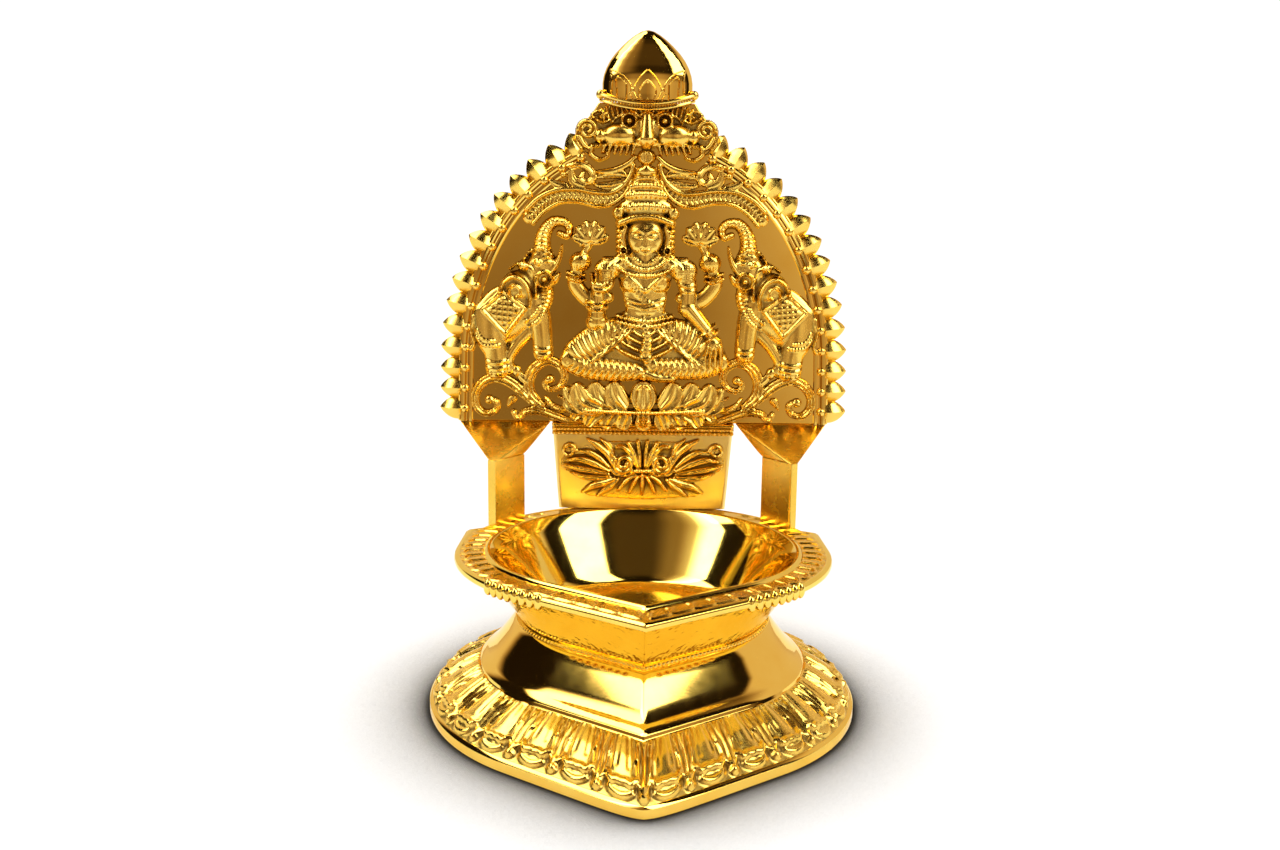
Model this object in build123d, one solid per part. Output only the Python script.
"""Brass standing oil lamp: a pointed oil bowl on a hollow foot, with an arched back plate in relief.

The lamp is first built about the bowl's own vertical axis, with the pouring point towards -Y, and
every piece is then moved together so that the origin is the centre of the foot's box on the floor.
Millimetres, +Z up.
"""
import os
from math import acos, cos, degrees, hypot, radians, sin

from build123d import *

# ---- driving dimensions -------------------------------------------------------------------------
FOOT_R = 50.0            # half-width of the foot on the floor
POINT_RATIO = 1.22       # how far the front point lies from the axis, in radii of the round part
LAMP_H = 160.0           # overall height
AXIS_Y = FOOT_R * (POINT_RATIO - 1) / 2   # the bowl's axis behind the middle of the foot's box

# foot: (height, radius) of each outline, from the floor up
FOOT_OUTSIDE = [(0, FOOT_R), (2.2, FOOT_R), (2.8, 49.0), (9.8, 38.6), (10.8, 38.3), (12.0, 37.0),
                (12.6, 36.0), (14.2, 34.5), (20.2, 29.8)]
FOOT_HOLLOW = [(0, 46.6), (1.2, 46.4), (8.2, 36.4), (10.4, 34.9), (13.8, 31.8)]
DECK_TOP = 16.4          # top of the web that closes the foot
WAIST_Z = FOOT_OUTSIDE[-1][0]
REGISTER_R = 27.1        # recess in the top of the foot that centres the bowl
REGISTER_GAP = 0.1       # clearance of the bowl's spigot in it, sideways and below

# bowl
BOWL_NECK_R = 28.7
BOWL_UNDER_RIM_R = 38.2
RIM_R = 44.0
RIM_UNDERSIDE = 34.4
RIM_TOP = 36.4
BOWL_MOUTH_R = 35.6
RIM_BEAD_R = 36.8
RIM_BEAD_TOP = 37.0
BOWL_FLOOR_Z = 19.0
BOWL_FLOOR_R = 24.6
BOWL_HOLLOW = [(BOWL_FLOOR_Z, BOWL_FLOOR_R), (20.6, 26.2), (RIM_BEAD_TOP, BOWL_MOUTH_R)]
WAIST_BEAD_R = 30.2
WAIST_BEAD_TOP = 21.0

# stud, washer and nut that draw the bowl down on the foot
STUD_R = 3.0
STUD_LENGTH = 10.5
STUD_HOLE_R = 3.3
WASHER_R, WASHER_T = 7.0, 1.0
NUT_ACROSS_FLATS, NUT_H = 10.0, 4.8
THREAD_CLEARANCE = 0.05

# back plate: its front face is the plane y = PLATE_FRONT behind the bowl's axis
PLATE_FRONT = 37.0
PLATE_T = 3.2
PLATE_FOOT_Z = 60.0
MASK_TOP_Z = 142.0
EDGE_FOOT_X = 49.0       # the arch's outer edge: a line, then two tangent arcs
EDGE_SPRING = (48.5, 78.0)
EDGE_HAUNCH = (39.9, 109.05)
EDGE_CROWN = (16.6, 130.5)
SHOULDER = (17.5, 135.6)
NECK_X = 12.3
BORDER_SETBACK = 0.7     # from the plate's edge to the outer border ridge
RIDGE_W, RIDGE_H = 1.6, 1.3
LINER_GAP, LINER_W, LINER_H = 0.7, 0.8, 0.9

# buds round the arch
BUD_ROWS = 15
BUD_R, BUD_LENGTH = 2.75, 4.9

# central stem, side posts and brackets
STEM_FRONT = 38.0
STEM_T = 3.2
STEM_TOP_X, STEM_FOOT_X = 24.2, 22.4
POST_RADIUS = 41.6       # the posts stand on the rim, along its curve
POST_ANGLE = 33.5
POST_W, POST_T = 11.5, 2.4
POST_TOP_Z = 53.0
BRACKET_OUTER_X, BRACKET_INNER_X = 48.7, 24.5

# rivets that hold the stem and the posts on the rim
RIVET_R, RIVET_HEAD_R, RIVET_HEAD_H, RIVET_DEPTH = 0.9, 1.8, 1.1, 4.0
STEM_RIVET_X = 14.0

# heights of the relief above the plate
SCROLL_H, CANOPY_H, ELEPHANT_H, FIGURE_H, SEAT_H = 1.6, 1.6, 3.0, 3.6, 3.4
MASK_H, COLLAR_H, FINIAL_H = 2.4, 3.2, 2.4
SILL_Z, SILL_H = 56.4, 2.4
FOLIAGE_H = 1.4


# ---- helpers ------------------------------------------------------------------------------------
def leaf(radius, z=0.0):
    """The lamp's plan shape: a circle drawn out by two tangent lines to a point at the front."""
    turn = acos(1 / POINT_RATIO)
    right = (radius * sin(turn), -radius * cos(turn))
    left = (-right[0], right[1])
    front = (0, -POINT_RATIO * radius)
    outline = [ThreePointArc(right, (0, radius), left), Line(left, front), Line(front, right)]
    return Pos(0, 0, z) * make_face(outline)


def leaf_stack(outlines):
    """A solid whose plan shape has each (height, radius) in turn."""
    return loft([leaf(radius, z) for z, radius in outlines], ruled=True)


def leaf_ring(z0, z1, outer, inner0, inner1):
    """A flat-topped ring between two heights, whose inside tapers from inner0 to inner1."""
    return leaf_stack([(z0, outer), (z1, outer)]) - leaf_stack([(z0, inner0), (z1, inner1)])


def mirrored(shape):
    """The same piece on the other side of the lamp."""
    return mirror(shape, about=Plane.YZ)


def on_plate(sketch, height, front=PLATE_FRONT):
    """A sketch drawn in X and Z, raised off the plate towards the viewer."""
    return extrude(Plane.XZ.offset(-front) * sketch, height)


def limb(start, end, width):
    """A round-ended bar between two points of a sketch."""
    middle = ((start[0] + end[0]) / 2, (start[1] + end[1]) / 2)
    return SlotCenterPoint(middle, end, width)


def chain(points, width):
    """Round-ended bars along a row of points."""
    bars = Sketch()
    for start, end in zip(points, points[1:]):
        bars += limb(start, end, width)
    return bars


def oval(x, z, half_w, half_h, turn=0.0):
    """An ellipse in a sketch, turned by some degrees."""
    return Pos(x, z) * Rot(0, 0, turn) * Ellipse(half_w, half_h)


def pair(sketch):
    """A sketch with its own mirror image."""
    return sketch + mirror(sketch, about=Plane.YZ)


# ---- foot and bowl ------------------------------------------------------------------------------
def make_foot():
    """Hollow casting with a lip, a sloping petal band, a moulding, a drum and a web on top."""
    body = leaf_stack(FOOT_OUTSIDE) - leaf_stack(FOOT_HOLLOW)
    body -= leaf_stack([(DECK_TOP, REGISTER_R), (WAIST_Z, REGISTER_R)])
    hole_top = DECK_TOP + 1
    return body - Pos(0, 0, hole_top / 2) * Cylinder(STUD_HOLE_R, hole_top)


def make_bowl():
    """Oil bowl with its spigot, flared side, flat rim and the bead round its mouth."""
    spigot_r = REGISTER_R - REGISTER_GAP
    body = leaf_stack([(DECK_TOP + REGISTER_GAP, spigot_r), (WAIST_Z, spigot_r)])
    body += leaf_stack([(WAIST_Z, BOWL_NECK_R), (RIM_UNDERSIDE, BOWL_UNDER_RIM_R)])
    body += leaf_stack([(RIM_UNDERSIDE, RIM_R), (RIM_TOP, RIM_R)])
    body += leaf_stack([(RIM_TOP, RIM_BEAD_R), (RIM_BEAD_TOP, RIM_BEAD_R)])
    body -= leaf_stack(BOWL_HOLLOW)
    for rivet in rivet_places():
        body -= rivet * Cylinder(RIVET_R, 2 * (RIM_TOP - RIM_UNDERSIDE) + 1)
    return body


def make_waist_beading():
    """Beaded wire that covers the seam between bowl and foot."""
    rise = (BOWL_UNDER_RIM_R - BOWL_NECK_R) / (RIM_UNDERSIDE - WAIST_Z)
    inner = BOWL_NECK_R + 0.05
    top = inner + rise * (WAIST_BEAD_TOP - WAIST_Z)
    return leaf_ring(WAIST_Z, WAIST_BEAD_TOP, WAIST_BEAD_R, inner, top)


STUD_TOP = DECK_TOP + REGISTER_GAP
DECK_UNDERSIDE = FOOT_HOLLOW[-1][0]


def make_stud():
    """Threaded stud, brazed to the underside of the bowl."""
    return Pos(0, 0, STUD_TOP - STUD_LENGTH / 2) * Cylinder(STUD_R, STUD_LENGTH)


def make_washer():
    blank = Cylinder(WASHER_R, WASHER_T) - Cylinder(STUD_HOLE_R, WASHER_T)
    return Pos(0, 0, DECK_UNDERSIDE - WASHER_T / 2) * blank


def make_nut():
    flat = RegularPolygon(NUT_ACROSS_FLATS / 2, 6, major_radius=False)
    blank = extrude(flat - Circle(STUD_R + THREAD_CLEARANCE), NUT_H)
    return Pos(0, 0, DECK_UNDERSIDE - WASHER_T - NUT_H) * blank


# ---- back plate ---------------------------------------------------------------------------------
def arch_edge(inset=0.0):
    """The right half of the arch's edge as three joined curves, moved in by some distance."""
    def moved(point, normal):
        return (point[0] - inset * normal[0], point[1] - inset * normal[1])

    rise = EDGE_SPRING[1] - PLATE_FOOT_Z
    run = EDGE_SPRING[0] - EDGE_FOOT_X
    side = (run / hypot(run, rise), rise / hypot(run, rise))
    normal = (side[1], -side[0])
    foot = moved((EDGE_FOOT_X, PLATE_FOOT_Z), normal)
    spring = moved(EDGE_SPRING, normal)
    lower = TangentArc(EDGE_SPRING, EDGE_HAUNCH, tangent=side)
    upper = TangentArc(EDGE_HAUNCH, EDGE_CROWN, tangent=lower % 1)
    haunch = moved(EDGE_HAUNCH, ((lower % 1).Y, -(lower % 1).X))
    crown = moved(EDGE_CROWN, ((upper % 1).Y, -(upper % 1).X))
    lower_in = TangentArc(spring, haunch, tangent=side)
    upper_in = TangentArc(haunch, crown, tangent=lower_in % 1)
    return Line(foot, spring), lower_in, upper_in


def border_band(setback, width):
    """A raised line that follows the arch on both sides, drawn as a sketch."""
    def half_fan(inset):
        edge = arch_edge(inset)
        crown = edge[-1] @ 1
        foot = edge[0] @ 0
        corner = (0, PLATE_FOOT_Z)
        closing = [Line(crown, (0, crown.Y)), Line((0, crown.Y), corner), Line(corner, foot)]
        return make_face([*edge, *closing])

    band = half_fan(setback) - half_fan(setback + width)
    crown_x = EDGE_CROWN[0] - 1.2
    tall = MASK_TOP_Z - PLATE_FOOT_Z
    keep = Pos(crown_x + 30, PLATE_FOOT_Z + tall / 2) * Rectangle(60, tall)
    return pair(band & keep)


def plate_outline():
    """The whole plate: arch, shoulders and the neck under the finial."""
    edge = arch_edge()
    crown = edge[-1] @ 1
    shoulder = Line(crown, SHOULDER)
    flank = ThreePointArc(SHOULDER, (14.6, 138.7), (NECK_X, MASK_TOP_Z))
    top = Line((NECK_X, MASK_TOP_Z), (0, MASK_TOP_Z))
    middle = Line((0, MASK_TOP_Z), (0, PLATE_FOOT_Z))
    bottom = Line((0, PLATE_FOOT_Z), edge[0] @ 0)
    return pair(make_face([*edge, shoulder, flank, top, middle, bottom]))


def make_plate():
    """Arched plate with the double border ridge, cast in one."""
    slab = on_plate(plate_outline(), PLATE_T, PLATE_FRONT + PLATE_T)
    ridge = on_plate(border_band(BORDER_SETBACK, RIDGE_W), RIDGE_H)
    liner_setback = BORDER_SETBACK + RIDGE_W + LINER_GAP
    liner = on_plate(border_band(liner_setback, LINER_W), LINER_H)
    return slab + ridge + liner


def make_buds():
    """Pointed buds that stand out of the plate's edge all round the arch."""
    profile = make_face([
        Line((0, 0), (BUD_R * 0.8, 0)),
        ThreePointArc((BUD_R * 0.8, 0), (BUD_R * 0.82, BUD_LENGTH * 0.45), (0.25, BUD_LENGTH)),
        Line((0.25, BUD_LENGTH), (0, BUD_LENGTH)),
        Line((0, BUD_LENGTH), (0, 0)),
    ])
    bud = revolve(profile, Axis.Y)                # points along +Y of the sketch
    edge = Wire(arch_edge())
    middle_y = PLATE_FRONT + PLATE_T / 2
    buds = []
    for row in range(BUD_ROWS):
        share = (row + 0.55) / BUD_ROWS
        at, along = edge @ share, edge % share
        lean = degrees(acos(along.Y)) * (1 if along.X < 0 else -1)
        one = Pos(at.X, middle_y, at.Y) * Rot(0, 90 - lean, 0) * Rot(90, 0, 0) * bud
        buds += [one, mirrored(one)]
    return buds


# ---- relief on the plate ------------------------------------------------------------------------
def seat_sketch():
    """Double lotus: tall petals open upwards over a lower row that hangs."""
    upper = Polygon((-14.5, 63.4), (14.5, 63.4), (19.5, 70.8), (-19.5, 70.8), align=None)
    lower = Polygon((-16.0, 58.6), (16.0, 58.6), (14.5, 63.5), (-14.5, 63.5), align=None)
    return upper + lower


def figure_sketch():
    """Seated figure with four arms, holding a lotus in each raised hand."""
    legs = Polygon((-19.0, 71.2), (19.0, 71.2), (20.5, 77.0), (7.0, 87.0), (-7.0, 87.0),
                   (-20.5, 77.0), align=None)
    body = Polygon((-7.0, 86.0), (7.0, 86.0), (4.2, 92.0), (6.2, 96.5), (10.5, 101.5),
                   (3.0, 104.5), (-3.0, 104.5), (-10.5, 101.5), (-6.2, 96.5), (-4.2, 92.0),
                   align=None)
    head = oval(0, 109.6, 5.2, 5.8)
    crown = Polygon((-6.8, 114.0), (6.8, 114.0), (3.4, 120.5), (1.2, 126.0), (-1.2, 126.0),
                    (-3.4, 120.5), align=None)
    blessing_arm = chain([(-9.5, 99.0), (-12.3, 86.8), (-12.0, 98.0)], 4.6)
    giving_arm = chain([(9.5, 99.0), (12.0, 90.0), (18.5, 82.5), (18.0, 76.5)], 4.6)
    raised_arm = chain([(11.0, 96.0), (15.6, 95.0), (16.5, 103.0), (14.0, 110.5)], 3.4)
    lotus = oval(14.2, 111.0, 4.6, 2.9)
    return legs + body + head + crown + blessing_arm + giving_arm + pair(raised_arm + lotus)


def elephant_sketch():
    """The right-hand elephant, facing inwards with its trunk raised and curled."""
    body = oval(35.5, 90.0, 8.6, 6.4, -52)
    head = oval(28.0, 99.5, 4.6, 5.2, -20)
    trunk = chain([(26.0, 102.5), (25.0, 108.0), (24.6, 111.5), (22.0, 112.8), (20.6, 110.6)], 3.0)
    front_leg = chain([(28.0, 94.0), (26.3, 86.0), (26.3, 78.6)], 5.0)
    hind_leg = chain([(38.5, 88.0), (38.6, 80.0), (38.6, 75.0)], 6.4)
    return body + head + trunk + front_leg + hind_leg


def scroll_sketch():
    """The right-hand foliage scrolls under the elephant."""
    inner = chain([(17.0, 63.0), (22.0, 62.6), (27.0, 64.0), (29.6, 68.0), (29.2, 73.0),
                   (25.6, 75.8), (22.2, 73.4), (22.6, 70.2), (25.2, 70.0)], 2.0)
    outer = chain([(30.0, 66.0), (33.6, 70.4), (38.5, 72.0), (43.4, 69.8), (44.0, 65.2),
                   (41.2, 63.0), (40.0, 65.2)], 2.0)
    stem = chain([(16.5, 61.6), (24.0, 61.4), (31.0, 62.6), (34.0, 61.6)], 1.8)
    return inner + outer + stem


def canopy_sketch():
    """The right half of the festoon that hangs from the mask's jaw over the figure."""
    rope = chain([(3.6, 127.5), (5.4, 122.5), (9.0, 118.6), (14.0, 117.6), (20.0, 118.6),
                  (25.0, 116.8), (28.6, 112.6)], 2.4)
    drape = chain([(3.6, 129.0), (7.0, 126.0), (12.5, 124.6)], 2.2)
    leaf_curl = chain([(7.0, 122.6), (12.0, 121.4), (16.6, 122.2), (16.0, 125.0)], 2.0)
    return rope + drape + leaf_curl


def make_mask():
    """Lion mask over the arch: brow, cheeks, nose and the scrolled ears."""
    ground = Polygon((-16.2, 130.4), (16.2, 130.4), (16.8, 135.2), (12.0, 141.6), (-12.0, 141.6),
                     (-16.8, 135.2), align=None)
    face = on_plate(ground, MASK_H * 0.5)
    cheeks = pair(oval(7.2, 133.6, 4.4, 2.7, -8))
    nose = Polygon((-2.4, 131.6), (2.4, 131.6), (1.0, 138.0), (-1.0, 138.0), align=None)
    ears = pair(oval(15.0, 134.0, 1.8, 3.4))
    return face + on_plate(cheeks + nose + ears, MASK_H)


def make_finial():
    """Smooth bud-shaped top above the mask, domed at the front."""
    half = [
        Line((0, MASK_TOP_Z), (11.4, MASK_TOP_Z)),
        ThreePointArc((11.4, MASK_TOP_Z), (11.6, 147.0), (10.4, 152.0)),
        ThreePointArc((10.4, 152.0), (6.6, 157.4), (0, LAMP_H)),
        Line((0, LAMP_H), (0, MASK_TOP_Z)),
    ]
    outline = pair(make_face(half))
    back = on_plate(outline, PLATE_T, PLATE_FRONT + PLATE_T)
    dome = on_plate(offset(outline, -1.6), FINIAL_H * 0.6)
    crest = on_plate(offset(outline, -3.6), FINIAL_H)
    return back + dome + crest


def make_collar():
    """Beaded collar between mask and finial, with a knob at each end."""
    band = chain([(-11.6, 143.6), (-6.0, 142.9), (0, 142.6), (6.0, 142.9), (11.6, 143.6)], 1.2)
    knobs = pair(oval(11.9, 144.2, 0.9, 0.9))
    return on_plate(band + knobs, COLLAR_H)


def make_sill():
    """Beaded strip along the plate's foot, between the brackets."""
    reach = BRACKET_INNER_X - 0.8
    tall = PLATE_FOOT_Z - SILL_Z
    strip = Pos(0, PLATE_FOOT_Z - tall / 2) * Rectangle(2 * reach, tall)
    return on_plate(strip, SILL_H, STEM_FRONT)


# ---- supports under the plate -------------------------------------------------------------------
def make_stem():
    """Broad central leg, from the back of the rim up to the plate's foot."""
    face = Polygon((-STEM_FOOT_X, RIM_TOP), (STEM_FOOT_X, RIM_TOP), (STEM_TOP_X, PLATE_FOOT_Z),
                   (-STEM_TOP_X, PLATE_FOOT_Z), align=None)
    return on_plate(face, STEM_T, STEM_FRONT + STEM_T)


def make_stem_foliage():
    """Palmette and scrolls on the front of the stem."""
    blades = Sketch()
    for tilt in range(-75, 76, 30):
        lean = radians(tilt)
        blades += limb((0, 46.8), (13.0 * sin(lean), 46.8 + 7.4 * cos(lean)), 3.0)
        blades += limb((0, 46.4), (11.0 * sin(lean), 46.4 - 5.0 * cos(lean)), 2.4)
    wings = pair(chain([(8.0, 46.8), (14.0, 49.0), (19.4, 47.4)], 3.2))
    return on_plate(blades + wings, FOLIAGE_H, STEM_FRONT)


def make_post():
    """The right-hand post, a flat bar that stands on the rim along its curve."""
    height = POST_TOP_Z - RIM_TOP
    bar = Box(POST_T, POST_W, height, align=(Align.CENTER, Align.CENTER, Align.MIN))
    return Rot(0, 0, POST_ANGLE) * Pos(POST_RADIUS, 0, RIM_TOP) * bar


def make_bracket():
    """The right-hand bracket: spreads from the post's head back and up to the plate's foot."""
    lean = radians(POST_ANGLE)
    middle = (POST_RADIUS * cos(lean), POST_RADIUS * sin(lean))
    along, across = (-sin(lean), cos(lean)), (cos(lean), sin(lean))

    def head(side, end):
        shift_x = side * across[0] * POST_T / 2 + end * along[0] * POST_W / 2
        shift_y = side * across[1] * POST_T / 2 + end * along[1] * POST_W / 2
        return (middle[0] + shift_x, middle[1] + shift_y, POST_TOP_Z)

    top, back = PLATE_FOOT_Z, PLATE_FRONT + PLATE_T
    a = (BRACKET_INNER_X, PLATE_FRONT, top)
    b = (BRACKET_OUTER_X, PLATE_FRONT, top)
    c = (BRACKET_OUTER_X, back, top)
    d = (BRACKET_INNER_X, back, top)
    e, f, g, h = head(-1, -1), head(1, -1), head(1, 1), head(-1, 1)
    sides = [(a, b, c, d), (e, f, g, h)]
    for one, two, three, four in ((a, b, f, e), (b, c, g, f), (c, d, h, g), (d, a, e, h)):
        sides += [(one, two, three), (one, three, four)]
    faces = [Face(Wire.make_polygon([Vector(*p) for p in side], close=True)) for side in sides]
    return Solid(Shell(faces))


# ---- rivets -------------------------------------------------------------------------------------
def rivet_places():
    """Where each rivet's axis meets the top of the rim."""
    stem_y = STEM_FRONT + STEM_T / 2
    lean = radians(POST_ANGLE)
    post = (POST_RADIUS * cos(lean), POST_RADIUS * sin(lean))
    spots = [(-STEM_RIVET_X, stem_y), (STEM_RIVET_X, stem_y), (-post[0], post[1]), post]
    return [Pos(x, y, RIM_TOP) for x, y in spots]


def make_rivets():
    """One shank and head for each place, driven up through the rim."""
    shank_h = RIVET_DEPTH + RIM_TOP - RIM_UNDERSIDE
    low = RIM_UNDERSIDE - RIM_TOP
    shank = Pos(0, 0, low + shank_h / 2) * Cylinder(RIVET_R, shank_h)
    head = Pos(0, 0, low - RIVET_HEAD_H / 2) * Cylinder(RIVET_HEAD_R, RIVET_HEAD_H)
    rivet = shank + head
    return [place * rivet for place in rivet_places()]


def drilled(piece, rivets):
    """A piece with the rivets' shanks let into it."""
    for rivet in rivets:
        piece -= rivet
    return piece


# ---- the whole lamp -----------------------------------------------------------------------------
def build_lamp():
    rivets = make_rivets()
    seat = seat_sketch()
    figure = figure_sketch() - seat
    elephant = elephant_sketch() - figure
    scroll = scroll_sketch() - seat - figure - elephant
    canopy = canopy_sketch() - figure - elephant
    plate = make_plate()
    post, bracket = make_post(), make_bracket()
    collar = make_collar()
    lamp = {
        "foot": make_foot(),
        "oil_bowl": make_bowl(),
        "waist_beading": make_waist_beading(),
        "centre_stud": make_stud(),
        "stud_washer": make_washer(),
        "stud_nut": make_nut(),
        "back_plate": plate,
        "edge_buds": [bud - plate for bud in make_buds()],
        "finial": make_finial(),
        "finial_collar": collar - make_finial(),
        "lion_mask": make_mask() - collar,
        "seated_figure": on_plate(figure, FIGURE_H),
        "lotus_seat": on_plate(seat, SEAT_H),
        "sill_beading": make_sill() - plate - on_plate(seat, SEAT_H),
        "centre_stem": drilled(make_stem(), rivets[:2]),
        "stem_foliage": make_stem_foliage(),
        "rim_rivets": rivets,
    }
    for name, piece in {
        "elephant": on_plate(elephant, ELEPHANT_H) - plate,
        "scroll": on_plate(scroll, SCROLL_H) - plate,
        "canopy": on_plate(canopy, CANOPY_H) - plate - lamp["lion_mask"],
        "bracket": bracket,
        "post": drilled(post, [rivets[3]]),
    }.items():
        lamp["right_" + name] = piece
        lamp["left_" + name] = mirrored(piece)
    return lamp


def solids_of(piece):
    """The separate solids of one node, at their final place."""
    pieces = piece if isinstance(piece, list) else [piece]
    moved = [Pos(0, AXIS_Y, 0) * one for one in pieces]
    return Compound(children=[solid for one in moved for solid in one.solids()])


def export_lamp():
    os.makedirs("parts", exist_ok=True)
    for name, piece in build_lamp().items():
        export_step(solids_of(piece), f"parts/{name}.step")


export_lamp()
